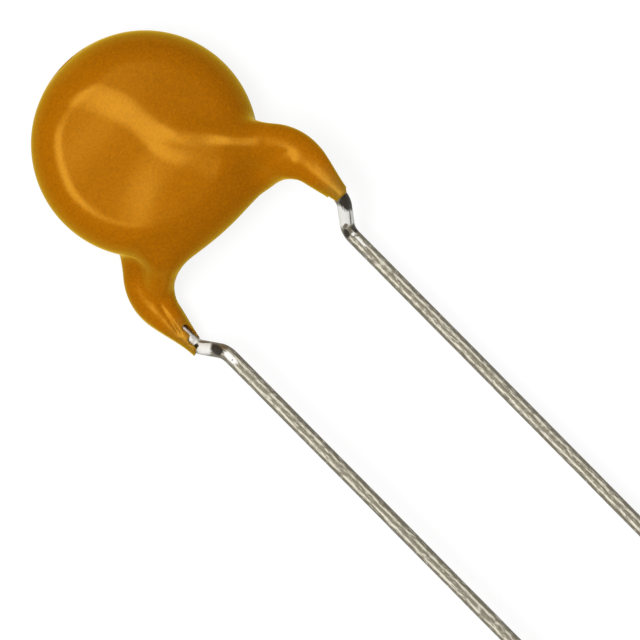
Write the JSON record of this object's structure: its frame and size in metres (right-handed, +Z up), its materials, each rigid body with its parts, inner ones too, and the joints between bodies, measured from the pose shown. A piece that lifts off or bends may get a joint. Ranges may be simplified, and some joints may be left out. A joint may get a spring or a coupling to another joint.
{
  "type": "ceramic disc capacitor",
  "caption": "Ceramic disc capacitor lying on its back: a round, flat body dipped in ochre resin, on parallel tinned wire leads that kink inwards below tapering resin legs.",
  "frame": {"origin": "on the table, under the middle of the part's box as it lies on its back", "axes": "+Y from the lead tips towards the disc, +X across the leads, +Z up out of the face that is seen"},
  "size_m": [0.011, 0.039, 0.0037],
  "materials": {
    "resin": "gloss",
    "ceramic": "matte",
    "silver": "satin",
    "solder": "satin",
    "tinned_wire": "satin"
  },
  "bodies": {
    "root": {"coating": "resin", "ceramic_disc": "ceramic", "front_electrode": "silver", "rear_electrode": "silver", "front_solder_joint": "solder", "rear_solder_joint": "solder", "front_lead": "tinned_wire", "rear_lead": "tinned_wire"}
  },
  "joints": []
}
